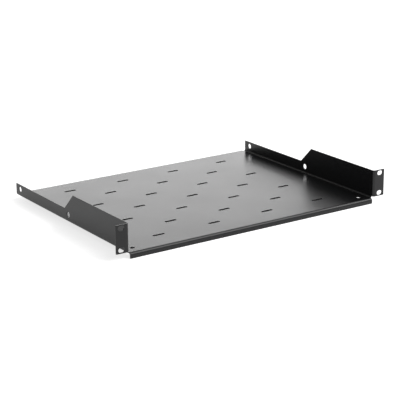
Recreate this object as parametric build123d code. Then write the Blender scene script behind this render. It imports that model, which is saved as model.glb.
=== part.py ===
# Rack shelf for a 19-inch rack, one unit high, cut from one steel sheet and folded. Sizes are in millimetres.
# X runs across the rack, +Y back into it and +Z up. The origin is the middle of the four ear holes, on the
# back of the ears, where they meet the rack's rails.

import os

from build123d import *

# The sheet and its folds
sheet = 1.5
inner_bend = 2.5
corner_radius = 1.0

# The sizes that the rack sets, with the ear holes set in so that they are 465.1 apart
panel_width = 482.6
ear_hole_inset = 8.75
ear_hole_pitch = 31.75

# The ears, out from the flanges to the panel's ends, and their holes drawn out sideways
ear_width = 19.8
ear_height = 42.0
ear_hole_length = 10.0
ear_hole_height = 7.2

# The tray, whose top lies below the middle of the ear holes, and whose rear edge reaches past the flanges
tray_drop = 22.8
tray_overhang = 3.5
tray_corner_radius = 3.0

# The front lip, flush with the ears. Its ends are set in from the flanges, by notches that reach past its fold
lip_drop = 8.7
lip_inset = 2.8
notch_reach = 0.75

# The flanges, tall behind the ears and low at the rear, with a slanted step between
flange_length = 336.0
tall_length = 153.5
step_length = 26.0
low_height = 18.2

# The two holes of each flange, set out from its rear end and from the tray's top
side_hole_diameter = 8.5
side_hole_inset = 13.2
side_hole_spacing = 153.8
side_hole_height = 10.6

# The slots of the tray, in rows that have one slot fewer every second time
slot_length = 20.0
slot_width = 5.0
slot_pitch = 96.6
slot_row_pitch = 43.2
slot_rows = 7
longest_row = 4
first_row = 42.1

# The round holes near the tray's front corners, set in from the flanges
corner_hole_diameter = 7.0
corner_hole_inset = 16.7
corner_hole_depth = 15.8

# Sizes and planes that several features share
outer_bend = inner_bend + sheet
front = -sheet
fold_end = front + outer_bend
body_width = panel_width - 2 * ear_width
half_width = body_width / 2
flat_width = body_width - 2 * outer_bend
lip_width = body_width - 2 * lip_inset
notch_end = fold_end + notch_reach
tray_top = -tray_drop
tray_bottom = tray_top - sheet
tray_end = flange_length + tray_overhang
flange_foot = tray_bottom + outer_bend
ear_top = ear_height / 2
ear_hole_spacing = panel_width - 2 * ear_hole_inset
corner_hole_spacing = body_width - 2 * corner_hole_inset


def fold(start, length):
    # A right-angled fold: a quarter of a tube about the start plane's normal
    outside = CenterArc((0, 0), outer_bend, 0, 90)
    inside = CenterArc((0, 0), inner_bend, 0, 90)
    ends = [Line(outside @ 0, inside @ 0), Line(outside @ 1, inside @ 1)]
    return extrude(start * make_face([outside, inside, *ends]), length)


def tray():
    plate = Pos(0, fold_end, tray_bottom) * Box(
        flat_width, tray_end - fold_end, sheet, align=(Align.CENTER, Align.MIN, Align.MIN)
    )
    plate = fillet(plate.edges().filter_by(Axis.Z).group_by(Axis.Y)[-1], tray_corner_radius)
    front_strip = Pos(0, fold_end, tray_bottom) * Box(
        lip_width, notch_reach, sheet, align=(Align.CENTER, Align.MIN, Align.MIN)
    )
    return plate + front_strip


def front_lip():
    fold_axis = Plane((lip_width / 2, fold_end, tray_top - outer_bend), x_dir=(0, -1, 0), z_dir=(-1, 0, 0))
    face = Pos(0, front, tray_top - outer_bend) * Box(
        lip_width, sheet, lip_drop - outer_bend, align=(Align.CENTER, Align.MIN, Align.MAX)
    )
    face = fillet(face.edges().filter_by(Axis.Y).group_by(Axis.Z)[0], corner_radius)
    return fold(fold_axis, lip_width) + face


def right_flange():
    fold_axis = Plane((flat_width / 2, notch_end, flange_foot), x_dir=(1, 0, 0), z_dir=(0, 1, 0))
    side_view = FilletPolyline(
        (fold_end, ear_top),
        (tall_length, ear_top),
        (tall_length + step_length, tray_top + low_height),
        (flange_length, tray_top + low_height),
        (flange_length, flange_foot),
        (notch_end, flange_foot),
        (fold_end, -ear_top),
        radius=[0, 0, 0, corner_radius, 0, 0, 0],
        close=True,
    )
    wall = extrude(Plane.YZ.offset(half_width) * make_face(side_view), -sheet)
    return fold(fold_axis, flange_length - notch_end) + wall


def right_ear():
    fold_x = half_width - sheet + outer_bend
    fold_axis = Plane((fold_x, fold_end, -ear_top), x_dir=(-1, 0, 0), z_dir=(0, 0, 1))
    plate = Pos(fold_x, front, 0) * Box(
        panel_width / 2 - fold_x, sheet, ear_height, align=(Align.MIN, Align.MIN, Align.CENTER)
    )
    plate = fillet(plate.edges().filter_by(Axis.Y).group_by(Axis.X)[-1], corner_radius)
    return fold(fold_axis, ear_height) + plate


def ear_holes():
    places = GridLocations(ear_hole_spacing, ear_hole_pitch, 2, 2)
    holes = Sketch() + places * SlotOverall(ear_hole_length, ear_hole_height)
    return extrude(Plane.XZ * holes, 2 * sheet, both=True)


def side_holes():
    rear = flange_length - side_hole_inset
    places = [(rear - side_hole_spacing, tray_top + side_hole_height), (rear, tray_top + side_hole_height)]
    circles = Sketch() + [Pos(*place) * Circle(side_hole_diameter / 2) for place in places]
    return extrude(Plane.YZ * circles, panel_width, both=True)


def tray_slots():
    slot = SlotOverall(slot_length, slot_width)
    slots = Sketch()
    for row in range(slot_rows):
        places = GridLocations(slot_pitch, 1, longest_row - row % 2, 1)
        slots += [Pos(0, first_row + row * slot_row_pitch) * place * slot for place in places]
    return extrude(Pos(0, 0, tray_top) * slots, 2 * sheet, both=True)


def corner_holes():
    holes = Sketch() + GridLocations(corner_hole_spacing, 1, 2, 1) * Circle(corner_hole_diameter / 2)
    return extrude(Pos(0, corner_hole_depth, tray_top) * holes, 2 * sheet, both=True)


right_side = right_flange() + right_ear()
shelf = tray() + front_lip() + right_side + mirror(right_side, about=Plane.YZ)
shelf -= ear_holes() + side_holes() + tray_slots() + corner_holes()

os.makedirs("parts", exist_ok=True)
export_step(shelf, "parts/shelf.step")
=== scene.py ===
# A one-unit rack shelf: one sheet of steel, cut, folded and powder coated black.
# Everything is in metres in the CAD's frame: X across the rack, +Y back into it, +Z up.
import math
import bmesh
import bpy
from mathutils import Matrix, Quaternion, Vector


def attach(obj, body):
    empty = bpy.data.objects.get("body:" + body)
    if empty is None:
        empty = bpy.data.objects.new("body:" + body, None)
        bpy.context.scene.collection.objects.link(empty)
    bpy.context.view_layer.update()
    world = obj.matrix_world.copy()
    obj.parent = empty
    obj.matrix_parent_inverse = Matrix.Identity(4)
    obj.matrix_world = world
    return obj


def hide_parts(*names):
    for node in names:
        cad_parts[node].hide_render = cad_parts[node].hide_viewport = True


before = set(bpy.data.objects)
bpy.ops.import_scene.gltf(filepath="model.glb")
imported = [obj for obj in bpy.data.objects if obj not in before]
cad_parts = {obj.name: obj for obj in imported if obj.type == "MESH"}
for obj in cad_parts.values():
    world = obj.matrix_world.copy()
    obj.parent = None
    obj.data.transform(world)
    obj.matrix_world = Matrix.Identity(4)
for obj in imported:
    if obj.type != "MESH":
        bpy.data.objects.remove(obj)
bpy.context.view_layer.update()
mm = 0.001
near = 0.005 * mm  # how close counts as being on a line


# small tools for all that follows

def deselectAll():
    bpy.ops.object.select_all(action="DESELECT")


def editAlone(obj):
    # edit mode on this piece alone, with nothing in it selected
    deselectAll()
    obj.select_set(True)
    bpy.context.view_layer.objects.active = obj
    bpy.ops.object.mode_set(mode="EDIT")
    bpy.ops.mesh.select_all(action="DESELECT")


def choose(obj, kind, test):
    # select the corners, edges or faces whose middle passes the test
    bpy.ops.mesh.select_mode(type=kind)
    bpy.ops.mesh.select_all(action="DESELECT")
    mesh = bmesh.from_edit_mesh(obj.data)
    if kind == "VERT":
        for corner in mesh.verts:
            corner.select_set(test(corner.co))
    elif kind == "EDGE":
        for edge in mesh.edges:
            edge.select_set(test((edge.verts[0].co + edge.verts[1].co) / 2))
    else:
        for face in mesh.faces:
            face.select_set(test(face.calc_center_median()))
    mesh.select_flush_mode()
    bmesh.update_edit_mesh(obj.data)


def pull(x=0.0, y=0.0, z=0.0):
    # extrude the selected edges by this much, in metres
    bpy.ops.mesh.extrude_region_move(TRANSFORM_OT_translate={"value": (x, y, z)})


def addModifier(obj, kind, **settings):
    # add a modifier with its settings and apply it
    deselectAll()
    obj.select_set(True)
    bpy.context.view_layer.objects.active = obj
    modifier = obj.modifiers.new(kind.title(), kind)
    for key, value in settings.items():
        setattr(modifier, key, value)
    bpy.ops.object.modifier_apply(modifier=modifier.name)


def addNode(tree, kind, links=None, **settings):
    # add a node, set its fields and inputs, and link what is given
    node = tree.nodes.new(kind)
    for key, value in settings.items():
        if hasattr(node, key):
            setattr(node, key, value)
        else:
            node.inputs[key].default_value = value
    for socket, source in (links or {}).items():
        tree.links.new(source, node.inputs[socket])
    return node


def direction(heading, up):
    # the unit vector with this heading from +Y to the right and this height over the horizon, in degrees
    turn, up = math.radians(heading), math.radians(up)
    return Vector((math.sin(turn) * math.cos(up), math.cos(turn) * math.cos(up), math.sin(up)))


def hexColour(text):
    # an sRGB hex colour as linear RGBA
    parts = [int(text[i:i + 2], 16) / 255 for i in (1, 3, 5)]
    return [c / 12.92 if c <= 0.04045 else ((c + 0.055) / 1.055) ** 2.4 for c in parts] + [1.0]


# the sheet: sizes and places in millimetres, the places in the CAD's frame
shelf = {
    "sheet": 1.5,
    "innerBend": 2.5,
    "flatHalf": 217.5,      # half the tray's flat width, between the folds
    "lipHalf": 218.7,       # half the lip's width
    "trayTop": -22.8,
    "foldEnd": 2.5,         # the lip's and the ears' folds reach back to here
    "lipBottom": -31.5,
    "reliefEnd": 3.25,      # the notches at the lip's ends stop here
    "flangeEnd": 336.0,
    "trayEnd": 339.5,
    "earTop": 21.0,
    "earOut": 241.3,
    "tallEnd": 153.5,
    "stepEnd": 179.5,
    "lowTop": -4.6,
    "cornerRadius": 1.0,
    "trayCorner": 3.0,
    "edgeRound": 0.35,      # radius that deburring and the coat give the outer edges
    "holeRound": 0.15,      # the same at the holes
    "bendSteps": 8,         # flats across a fold
    "cornerSteps": 5,       # flats round a corner
    "roundSteps": 3,        # flats over an edge
    "sharpAngle": 35.0,     # degrees past which an edge counts as sharp and is rounded
    "smoothAngle": 50.0,    # degrees up to which faces shade as one
    "faceWeight": 100,      # how much the large faces set the shading, 100 at most
}


def at(key):
    # one of these, in metres
    return shelf[key] * mm


# places that the folds share, in metres
outerBend = at("innerBend") + at("sheet")
flatX, foldY, topZ = at("flatHalf"), at("foldEnd"), at("trayTop")
frontY = foldY - outerBend          # the front face of the lip and the ears
lipZ = topZ - outerBend             # where the lip's fold ends
flangeX = flatX + at("innerBend")   # the flange's inner face
footZ = topZ + at("innerBend")      # where the flange's fold ends
earX = flangeX + outerBend          # where the ear's fold ends


def flatTray():
    # the right half of the tray's flat, cut at both ends of the flange and left in edit mode
    deselectAll()
    bpy.ops.mesh.primitive_plane_add(size=1, location=(flatX / 2, (foldY + at("trayEnd")) / 2, topZ))
    obj = bpy.context.active_object
    obj.name = obj.data.name = "foldedSheet"
    obj.scale = (flatX, at("trayEnd") - foldY, 1)
    bpy.ops.object.transform_apply(location=True, rotation=True, scale=True)
    editAlone(obj)
    for y in (at("reliefEnd"), at("flangeEnd")):
        bpy.ops.mesh.select_all(action="SELECT")
        bpy.ops.mesh.bisect(plane_co=(0, y, 0), plane_no=(0, 1, 0))
    return obj


def fold(obj, edges, middle, axis):
    # fold these edges through a right angle about the axis; spin takes a right-handed turn as negative
    choose(obj, "EDGE", edges)
    bpy.ops.mesh.spin(steps=shelf["bendSteps"], angle=math.radians(-90), center=middle, axis=axis)


def foldLip(obj):
    # its strip is a little wider than the flat, and folds down in front
    choose(obj, "EDGE", lambda p: abs(p.x - flatX) < near and p.y < at("reliefEnd"))
    pull(x=at("lipHalf") - flatX)
    fold(obj, lambda p: abs(p.y - foldY) < near, (0, foldY, lipZ), (1, 0, 0))
    pull(z=at("lipBottom") - lipZ)


def onFlange(p):
    # on the flange's inner face
    return abs(p.x - flangeX) < near


def foldFlange(obj):
    # folded up at the side, then cut down behind the step
    fold(
        obj, lambda p: abs(p.x - flatX) < near and at("reliefEnd") < p.y < at("flangeEnd"),
        (flatX, 0, footZ), (0, -1, 0),
    )
    pull(z=at("earTop") - footZ)
    for spot, normal in (((0, 0, at("lowTop")), (0, 0, 1)), ((0, at("stepEnd"), 0), (0, 1, 0))):
        choose(obj, "FACE", onFlange)
        bpy.ops.mesh.bisect(plane_co=spot, plane_no=normal)
    choose(obj, "FACE", lambda p: onFlange(p) and p.z > at("lowTop") and p.y > at("stepEnd"))
    bpy.ops.mesh.delete(type="FACE")
    slope = Vector((0, at("earTop") - at("lowTop"), at("stepEnd") - at("tallEnd")))
    choose(obj, "FACE", lambda p: onFlange(p) and p.z > at("lowTop"))
    bpy.ops.mesh.bisect(
        plane_co=(0, at("tallEnd"), at("earTop")), plane_no=slope.normalized(), clear_outer=True,
    )


def foldEar(obj):
    # the flange's front end runs forward and down, then folds out
    choose(obj, "EDGE", lambda p: onFlange(p) and abs(p.y - at("reliefEnd")) < near)
    pull(y=foldY - at("reliefEnd"))
    choose(obj, "VERT", lambda p: onFlange(p) and abs(p.y - foldY) < near and abs(p.z - footZ) < near)
    bpy.ops.transform.translate(value=(0, 0, -at("earTop") - footZ))
    fold(obj, lambda p: onFlange(p) and abs(p.y - foldY) < near, (earX, foldY, 0), (0, 0, 1))
    pull(x=at("earOut") - earX)


def roundCorners(obj):
    outer = [
        (at("earOut"), frontY, at("earTop")), (at("earOut"), frontY, -at("earTop")),
        (at("lipHalf"), frontY, at("lipBottom")), (flangeX, at("flangeEnd"), at("lowTop")),
    ]
    tray = [(flatX, at("trayEnd"), topZ)]
    for radius, spots in ((at("cornerRadius"), outer), (at("trayCorner"), tray)):
        choose(obj, "VERT", lambda p: any((p - Vector(s)).length < near for s in spots))
        bpy.ops.mesh.bevel(affect="VERTICES", offset=radius, segments=shelf["cornerSteps"])


def foldedSkin():
    # the upper and inner skin of the right half, folded out from the tray's flat
    obj = flatTray()
    foldLip(obj)
    foldFlange(obj)
    foldEar(obj)
    roundCorners(obj)
    bpy.ops.object.mode_set(mode="OBJECT")
    return obj


def joinHalves(obj):
    # the left half is the right half's mirror image
    addModifier(obj, "MIRROR", use_axis=(True, False, False), merge_threshold=near)
    editAlone(obj)
    bpy.ops.mesh.select_all(action="SELECT")
    bpy.ops.mesh.remove_doubles(threshold=near)
    bpy.ops.mesh.normals_make_consistent(inside=False)
    bpy.ops.object.mode_set(mode="OBJECT")
    tray = max(obj.data.polygons, key=lambda face: face.area)
    if tray.normal.z < 0:
        editAlone(obj)
        bpy.ops.mesh.select_all(action="SELECT")
        bpy.ops.mesh.flip_normals()
        bpy.ops.object.mode_set(mode="OBJECT")
    # the sheet gets its thickness, downwards and outwards
    addModifier(
        obj, "SOLIDIFY", thickness=at("sheet"), offset=-1, use_even_offset=True, use_quality_normals=True,
    )


# the holes: sizes and places in millimetres, the places in the CAD's frame
holes = {
    "slotLength": 20.0,
    "slotWidth": 5.0,
    "slotPitch": 96.6,
    "slotRowPitch": 43.2,
    "slotRows": 7,
    "longestRow": 4,        # slots in the first row; every second row has one fewer
    "firstRow": 42.1,
    "earHoleLength": 10.0,
    "earHoleHeight": 7.2,
    "earHoleSpacing": 465.1,
    "earHolePitch": 31.75,
    "sideHole": 8.5,
    "sideHoleRear": 322.8,
    "sideHoleSpacing": 153.8,
    "sideHoleHeight": -12.2,
    "cornerHole": 7.0,
    "cornerHoleSpacing": 409.6,
    "cornerHoleDepth": 15.8,
    "sides": 32,            # flats round a punch
    "punchReach": 5,        # a punch's length, in sheet thicknesses
}


def punch(length, width, place, turn):
    # a round or drawn-out punch, turned to stand across the sheet, with its middle at the place
    radius, reach = width * mm / 2, holes["punchReach"] * at("sheet")
    deselectAll()
    bpy.ops.mesh.primitive_cylinder_add(vertices=holes["sides"], radius=radius, depth=reach)
    obj = bpy.context.active_object
    editAlone(obj)
    bpy.ops.mesh.select_all(action="SELECT")
    # turned by half a flat, so that no corner lies on x = 0, where the two ends part
    bpy.ops.transform.rotate(value=math.pi / holes["sides"], orient_axis="Z", center_override=(0, 0, 0))
    for side in (-1, 1):
        choose(obj, "VERT", lambda p: p.x * side > 0)
        bpy.ops.transform.translate(value=(side * (length - width) * mm / 2, 0, 0))
    bpy.ops.object.mode_set(mode="OBJECT")
    obj.rotation_euler = turn
    obj.location = place
    return obj


def copyTo(punchObj, place):
    # the same punch once more, at another place
    copy = punchObj.copy()
    copy.data = punchObj.data.copy()
    copy.location = place
    bpy.context.scene.collection.objects.link(copy)
    return copy


def slotPlaces(z):
    # the middles of the tray's slots
    places = []
    for row in range(holes["slotRows"]):
        count = holes["longestRow"] - row % 2
        y = (holes["firstRow"] + row * holes["slotRowPitch"]) * mm
        for i in range(count):
            places.append(((i - (count - 1) / 2) * holes["slotPitch"] * mm, y, z))
    return places


def allPunches():
    # all punches as one object: those of the slots, the ears, the flanges and the tray's front corners
    flat, forward, sideways = (0, 0, 0), (math.radians(90), 0, 0), (0, math.radians(90), 0)
    trayMiddle = topZ - at("sheet") / 2
    earMiddle = foldY - at("innerBend") - at("sheet") / 2
    flangeMiddle = flangeX + at("sheet") / 2
    sets = [
        (holes["slotLength"], holes["slotWidth"], flat, slotPlaces(trayMiddle)),
        (holes["earHoleLength"], holes["earHoleHeight"], forward, [
            (x * holes["earHoleSpacing"] * mm / 2, earMiddle, z * holes["earHolePitch"] * mm / 2)
            for x in (-1, 1) for z in (-1, 1)
        ]),
        (holes["sideHole"], holes["sideHole"], sideways, [
            (x * flangeMiddle, (holes["sideHoleRear"] - y * holes["sideHoleSpacing"]) * mm,
             holes["sideHoleHeight"] * mm)
            for x in (-1, 1) for y in (0, 1)
        ]),
        (holes["cornerHole"], holes["cornerHole"], flat, [
            (x * holes["cornerHoleSpacing"] * mm / 2, holes["cornerHoleDepth"] * mm, trayMiddle)
            for x in (-1, 1)
        ]),
    ]
    made = []
    for length, width, turn, places in sets:
        first = punch(length, width, places[0], turn)
        made += [first] + [copyTo(first, place) for place in places[1:]]
    deselectAll()
    for obj in made:
        obj.select_set(True)
    bpy.context.view_layer.objects.active = made[0]
    bpy.ops.object.join()
    return bpy.context.active_object


def roundEdges(obj, key):
    # round the edges that are still sharp
    addModifier(
        obj, "BEVEL", width=at(key), segments=shelf["roundSteps"], limit_method="ANGLE",
        angle_limit=math.radians(shelf["sharpAngle"]), use_clamp_overlap=False, miter_outer="MITER_ARC",
    )


def makeShelf():
    obj = foldedSkin()
    joinHalves(obj)
    roundEdges(obj, "edgeRound")
    print("sheet folded,", len(obj.data.polygons), "faces")
    punches = allPunches()
    addModifier(obj, "BOOLEAN", operation="DIFFERENCE", object=punches, solver="EXACT")
    bpy.data.objects.remove(punches)
    print("holes punched,", len(obj.data.polygons), "faces")
    roundEdges(obj, "holeRound")
    deselectAll()
    obj.select_set(True)
    bpy.ops.object.shade_smooth_by_angle(angle=math.radians(shelf["smoothAngle"]))
    addModifier(obj, "WEIGHTED_NORMAL", mode="FACE_AREA", weight=shelf["faceWeight"], keep_sharp=True)
    print("edges rounded,", len(obj.data.polygons), "faces")
    return obj


# the finish
coat = {
    "colour": "#0e0e10",
    "colourSwing": 0.18,        # how far the grain lightens and darkens it, as a share
    "colourSpan": (0.35, 0.65),  # the grain's noise from the darkest to the lightest
    "roughness": 0.33,
    "roughnessSwing": 0.015,    # how far the clouds change it
    "roughnessSpan": (0.3, 0.7),  # the clouds' noise from the smoothest to the roughest
    "ior": 1.5,
    "peel": 3.0,                # mm from crest to crest of the ripple
    "peelHeight": 0.012,        # mm
    "peelDetail": 2.0,          # octaves of the noise
    "grain": 1.2,               # mm; the real grain is 0.1, drawn coarser so that it shows
    "grainHeight": 0.004,       # mm
    "grainDetail": 3.0,
    "clouds": 12.0,             # in a metre
    "cloudDetail": 3.0,
}


def powderCoat():
    # polyester powder, sprayed on and baked: a satin black skin that flows into a faint orange peel,
    # so that reflections are soft, bright at low angles and slightly uneven
    material = bpy.data.materials.new("satinBlackPowderCoat")
    material.use_nodes = True
    tree = material.node_tree
    tree.nodes.clear()
    where = addNode(tree, "ShaderNodeTexCoord").outputs["Object"]
    peel, grain, clouds = (
        addNode(tree, "ShaderNodeTexNoise", {"Vector": where}, Scale=scale, Detail=detail).outputs["Fac"]
        for scale, detail in (
            (1 / (coat["peel"] * mm), coat["peelDetail"]),
            (1 / (coat["grain"] * mm), coat["grainDetail"]),
            (coat["clouds"], coat["cloudDetail"]),
        )
    )
    tone = addNode(tree, "ShaderNodeValToRGB", {"Fac": grain})
    for stop, place, sign in zip(tone.color_ramp.elements, coat["colourSpan"], (-1, 1)):
        stop.position = place
        stop.color = [c * (1 + sign * coat["colourSwing"]) for c in hexColour(coat["colour"])[:3]] + [1.0]
    gloss = addNode(tree, "ShaderNodeMapRange", {"Value": clouds})
    for end, place, sign in zip(("Min", "Max"), coat["roughnessSpan"], (-1, 1)):
        gloss.inputs["From " + end].default_value = place
        gloss.inputs["To " + end].default_value = coat["roughness"] + sign * coat["roughnessSwing"]
    ripple = addNode(tree, "ShaderNodeBump", {"Height": peel}, Strength=1.0, Distance=coat["peelHeight"] * mm)
    bump = addNode(
        tree, "ShaderNodeBump", {"Height": grain, "Normal": ripple.outputs["Normal"]},
        Strength=1.0, Distance=coat["grainHeight"] * mm,
    )
    shader = addNode(tree, "ShaderNodeBsdfPrincipled", {
        "Base Color": tone.outputs["Color"],
        "Roughness": gloss.outputs["Result"],
        "Normal": bump.outputs["Normal"],
    }, IOR=coat["ior"])
    addNode(tree, "ShaderNodeOutputMaterial", {"Surface": shader.outputs["BSDF"]})
    return material


# the studio: lengths in metres
studio = {
    "floorColour": "#e0e0e0",
    "floorSize": 18.0,
    "floorLift": 0.73,      # the floor's own share of white for the camera, past the box of painted shade beneath the shelf
    "mirroredLift": 0.49,   # the same for what the coat mirrors
    "paintedShadeBox": (0.2, 0.015, 0.336),  # a box beneath the shelf where the floor gets no lift, which paints shade there: half its width, its front and its rear
    "roomLight": 0.2,       # share of white
    "distance": 5.0,        # from the object to every lamp
    # each lamp's heading and height in degrees, seen from the object, its face's width and height, and how
    # bright its face is, with white as 1
    "lamps": {
        "lowBackSoftbox": (31, 8, 4.4, 1.4, 3.05),
        "highBackSoftbox": (15.5, 26, 4.4, 2.1, 1.35),
        "rightSoftbox": (130, 46, 4.8, 3.6, 3.7),
    },
}


def paleFloor():
    # matt; it is lifted to white for the camera, and less where the coat mirrors it, except in a box beneath
    # the shelf that is left dark as painted shade
    material = bpy.data.materials.new("paleFloor")
    material.use_nodes = True
    tree = material.node_tree
    tree.nodes.clear()
    rays = addNode(tree, "ShaderNodeLightPath")
    mirrored = addNode(tree, "ShaderNodeMath", {0: rays.outputs["Is Glossy Ray"]}, operation="MULTIPLY")
    mirrored.inputs[1].default_value = studio["mirroredLift"]
    lift = addNode(
        tree, "ShaderNodeMath", {0: rays.outputs["Is Camera Ray"], 2: mirrored.outputs[0]},
        operation="MULTIPLY_ADD",
    )
    lift.inputs[1].default_value = studio["floorLift"]
    # painted shade: in a box beneath the shelf the lift is cut, so the floor there is darker than the floor
    # around it
    spot = addNode(tree, "ShaderNodeTexCoord").outputs["Object"]
    where = addNode(tree, "ShaderNodeSeparateXYZ", {0: spot})
    side, front, rear = studio["paintedShadeBox"]
    past = []
    for axis, middle, half in (("X", 0, side), ("Y", (front + rear) / 2, (rear - front) / 2)):
        off = addNode(tree, "ShaderNodeMath", {0: where.outputs[axis]}, operation="SUBTRACT")
        off.inputs[1].default_value = middle
        off = addNode(tree, "ShaderNodeMath", {0: off.outputs[0]}, operation="ABSOLUTE")
        off = addNode(tree, "ShaderNodeMath", {0: off.outputs[0]}, operation="GREATER_THAN")
        off.inputs[1].default_value = half
        past.append(off.outputs[0])
    # one past the painted shade box, nought inside it
    pastPaintedShade = addNode(tree, "ShaderNodeMath", {0: past[0], 1: past[1]}, operation="MAXIMUM").outputs[0]
    lift = addNode(tree, "ShaderNodeMath", {0: lift.outputs[0], 1: pastPaintedShade}, operation="MULTIPLY")
    matt = addNode(tree, "ShaderNodeBsdfDiffuse", Color=hexColour(studio["floorColour"]))
    glow = addNode(tree, "ShaderNodeEmission", {"Strength": lift.outputs[0]})
    both = addNode(tree, "ShaderNodeAddShader", {0: matt.outputs[0], 1: glow.outputs[0]})
    addNode(tree, "ShaderNodeOutputMaterial", {"Surface": both.outputs[0]})
    return material


def makeFloor():
    # the shelf rests on it, and it takes the shelf's shadow
    deselectAll()
    bpy.ops.mesh.primitive_plane_add(size=studio["floorSize"], location=(0, 0, at("lipBottom")))
    floor = bpy.context.active_object
    floor.name = "studioFloor"
    bpy.ops.object.transform_apply(location=True, rotation=True, scale=True)
    floor.data.materials.append(paleFloor())


def softbox(name, heading, up, width, height, brightness):
    # a rectangular lamp that faces the object and that the camera doesn't see
    place = direction(heading, up) * studio["distance"]
    lamp = bpy.data.lights.new(name, "AREA")
    lamp.shape = "RECTANGLE"
    lamp.size, lamp.size_y = width, height
    lamp.energy = brightness * math.pi * width * height  # watts, from its face's brightness
    obj = bpy.data.objects.new(name, lamp)
    obj.location = place
    obj.rotation_euler = (-place).to_track_quat("-Z", "Y").to_euler()
    obj.visible_camera = False
    bpy.context.scene.collection.objects.link(obj)


def makeStudio():
    makeFloor()
    world = bpy.data.worlds.new("plainRoom")
    bpy.context.scene.world = world
    world.use_nodes = True
    world.node_tree.nodes["Background"].inputs["Color"].default_value = (1, 1, 1, 1)
    world.node_tree.nodes["Background"].inputs["Strength"].default_value = studio["roomLight"]
    for name, settings in studio["lamps"].items():
        softbox(name, *settings)


# the camera of the photo: its place in metres, angles in degrees, lens and sensor in millimetres
view = {
    "place": (-1.1433, -1.5434, 0.6198),
    "heading": 34.02,       # from +Y, to the right
    "down": 17.515,         # below the horizon
    "roll": -0.329,         # about the line of sight
    "lens": 124.61,
    "sensor": 36.0,
}


def makeCamera():
    data = bpy.data.cameras.new("photoCamera")
    data.lens, data.sensor_width = view["lens"], view["sensor"]
    camera = bpy.data.objects.new("photoCamera", data)
    level = direction(view["heading"], -view["down"]).to_track_quat("-Z", "Y")
    camera.rotation_mode = "QUATERNION"
    camera.location = view["place"]
    camera.rotation_quaternion = level @ Quaternion((0, 0, 1), math.radians(view["roll"]))
    bpy.context.scene.collection.objects.link(camera)
    bpy.context.scene.camera = camera


# putting it together

shelfPiece = makeShelf()
shelfPiece.data.materials.clear()
shelfPiece.data.materials.append(powderCoat())
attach(shelfPiece, "root")
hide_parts("shelf")
print("shelf finished")

makeStudio()
makeCamera()
bpy.context.scene.view_settings.view_transform = "Standard"
print("studio ready")
